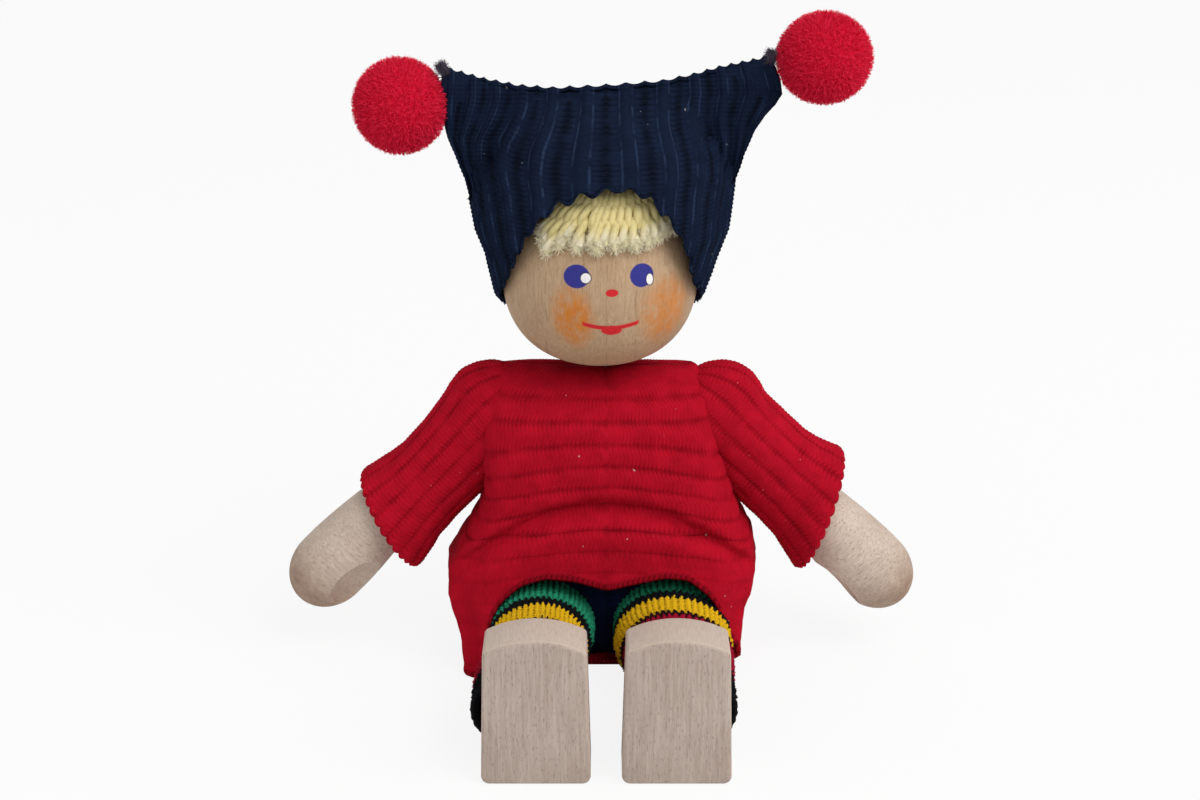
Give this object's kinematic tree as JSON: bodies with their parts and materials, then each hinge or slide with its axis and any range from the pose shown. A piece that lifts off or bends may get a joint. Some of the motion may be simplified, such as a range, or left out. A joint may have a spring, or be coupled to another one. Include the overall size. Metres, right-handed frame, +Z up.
{
  "type": "bendy doll",
  "caption": "Seated bendy doll on a wire skeleton, with a wooden head, hands and feet, a knitted hat with pompoms, a knitted dress and striped trousers.",
  "frame": {"origin": "on the ground under the middle of the doll's seat", "axes": "+Z up, the doll sits facing -Y with its legs straight out in front, +X is the doll's own left"},
  "size_m": [0.0992, 0.061, 0.1026],
  "materials": {
    "wood": "pale turned beech, sanded and left unvarnished",
    "navy_knit": "rib-knitted navy wool",
    "fluff": "fluffy red craft pompom",
    "yarn": "pale yellow twisted yarn",
    "red_knit": "rib-knitted red wool",
    "striped_knit": "knitted wool in green, black, yellow and red stripes",
    "cotton": "cotton wound round the wire",
    "steel_wire": "soft annealed steel wire"
  },
  "bodies": {
    "torso": {"torso_core": "wood", "dress_bodice": "red_knit", "dress_skirt": "red_knit", "trouser_seat": "navy_knit", "hip_wire_left": "steel_wire", "hip_wire_right": "steel_wire"},
    "neck": {"neck_wire": "steel_wire"},
    "head": {"head": "wood", "head_wire": "steel_wire", "hat": "navy_knit", "hair_fringe": "yarn", "pompom_left": "fluff", "pompom_right": "fluff", "pompom_tie_left": "yarn", "pompom_tie_right": "yarn"},
    "shoulder_left": {"shoulder_wire_left": "steel_wire"},
    "upper_arm_left": {"upper_arm_wire_left": "steel_wire", "upper_arm_padding_left": "cotton", "sleeve_left": "red_knit"},
    "forearm_left": {"forearm_wire_left": "steel_wire", "forearm_padding_left": "cotton", "hand_left": "wood"},
    "shoulder_right": {"shoulder_wire_right": "steel_wire"},
    "upper_arm_right": {"upper_arm_wire_right": "steel_wire", "upper_arm_padding_right": "cotton", "sleeve_right": "red_knit"},
    "forearm_right": {"forearm_wire_right": "steel_wire", "forearm_padding_right": "cotton", "hand_right": "wood"},
    "hip_left": {"hip_bend_left": "steel_wire"},
    "thigh_left": {"thigh_wire_left": "steel_wire", "thigh_padding_left": "cotton", "trouser_leg_left": "striped_knit"},
    "shin_left": {"shin_wire_left": "steel_wire", "shin_padding_left": "cotton"},
    "foot_left": {"foot_wire_left": "steel_wire", "foot_left": "wood"},
    "hip_right": {"hip_bend_right": "steel_wire"},
    "thigh_right": {"thigh_wire_right": "steel_wire", "thigh_padding_right": "cotton", "trouser_leg_right": "striped_knit"},
    "shin_right": {"shin_wire_right": "steel_wire", "shin_padding_right": "cotton"},
    "foot_right": {"foot_wire_right": "steel_wire", "foot_right": "wood"}
  },
  "joints": [
    {"name": "neck_turn", "type": "hinge", "parent": "torso", "child": "neck", "pos_m": [0, 0, 0.0467], "axis": [0, 0, 1], "range_deg": [-70, 70]},
    {"name": "neck_nod", "type": "hinge", "parent": "neck", "child": "head", "pos_m": [0, 0, 0.0467], "axis": [1, 0, 0], "range_deg": [-20, 20]},
    {"name": "shoulder_swing_left", "type": "hinge", "parent": "torso", "child": "shoulder_left", "pos_m": [0.017, 0, 0.0402], "axis": [-1, 0, 0], "range_deg": [-60, 150], "deforming": ["sleeve_left"]},
    {"name": "shoulder_raise_left", "type": "hinge", "parent": "shoulder_left", "child": "upper_arm_left", "pos_m": [0.017, 0, 0.0402], "axis": [0, -1, 0], "range_deg": [-10, 90], "deforming": ["sleeve_left"]},
    {"name": "elbow_bend_left", "type": "hinge", "parent": "upper_arm_left", "child": "forearm_left", "pos_m": [0.02568, 0, 0.03121], "axis": [-0.7193, 0, -0.6947], "range_deg": [-90, 90], "deforming": ["sleeve_left"]},
    {"name": "shoulder_swing_right", "type": "hinge", "parent": "torso", "child": "shoulder_right", "pos_m": [-0.017, 0, 0.0402], "axis": [-1, 0, 0], "range_deg": [-60, 150], "deforming": ["sleeve_right"]},
    {"name": "shoulder_raise_right", "type": "hinge", "parent": "shoulder_right", "child": "upper_arm_right", "pos_m": [-0.017, 0, 0.0402], "axis": [0, 1, 0], "range_deg": [-10, 90], "deforming": ["sleeve_right"]},
    {"name": "elbow_bend_right", "type": "hinge", "parent": "upper_arm_right", "child": "forearm_right", "pos_m": [-0.02568, 0, 0.03121], "axis": [-0.7193, 0, 0.6947], "range_deg": [-90, 90], "deforming": ["sleeve_right"]},
    {"name": "hip_swing_left", "type": "hinge", "parent": "torso", "child": "hip_left", "pos_m": [0.01, -0.002, 0.0075], "axis": [1, 0, 0], "range_deg": [-25, 90], "deforming": ["dress_skirt", "trouser_leg_left"]},
    {"name": "hip_spread_left", "type": "hinge", "parent": "hip_left", "child": "thigh_left", "pos_m": [0.01, -0.002, 0.0075], "axis": [0, 0, 1], "range_deg": [-2, 35], "deforming": ["dress_skirt", "trouser_leg_left"]},
    {"name": "knee_bend_left", "type": "hinge", "parent": "thigh_left", "child": "shin_left", "pos_m": [0.01, -0.0185, 0.0075], "axis": [1, 0, 0], "range_deg": [-15, 100], "deforming": ["trouser_leg_left"]},
    {"name": "ankle_bend_left", "type": "hinge", "parent": "shin_left", "child": "foot_left", "pos_m": [0.01, -0.0351, 0.0075], "axis": [1, 0, 0], "range_deg": [-35, 35], "deforming": ["trouser_leg_left"]},
    {"name": "hip_swing_right", "type": "hinge", "parent": "torso", "child": "hip_right", "pos_m": [-0.01, -0.002, 0.0075], "axis": [1, 0, 0], "range_deg": [-25, 90], "deforming": ["dress_skirt", "trouser_leg_right"]},
    {"name": "hip_spread_right", "type": "hinge", "parent": "hip_right", "child": "thigh_right", "pos_m": [-0.01, -0.002, 0.0075], "axis": [0, 0, -1], "range_deg": [-2, 35], "deforming": ["dress_skirt", "trouser_leg_right"]},
    {"name": "knee_bend_right", "type": "hinge", "parent": "thigh_right", "child": "shin_right", "pos_m": [-0.01, -0.0185, 0.0075], "axis": [1, 0, 0], "range_deg": [-15, 100], "deforming": ["trouser_leg_right"]},
    {"name": "ankle_bend_right", "type": "hinge", "parent": "shin_right", "child": "foot_right", "pos_m": [-0.01, -0.0351, 0.0075], "axis": [1, 0, 0], "range_deg": [-35, 35], "deforming": ["trouser_leg_right"]}
  ]
}
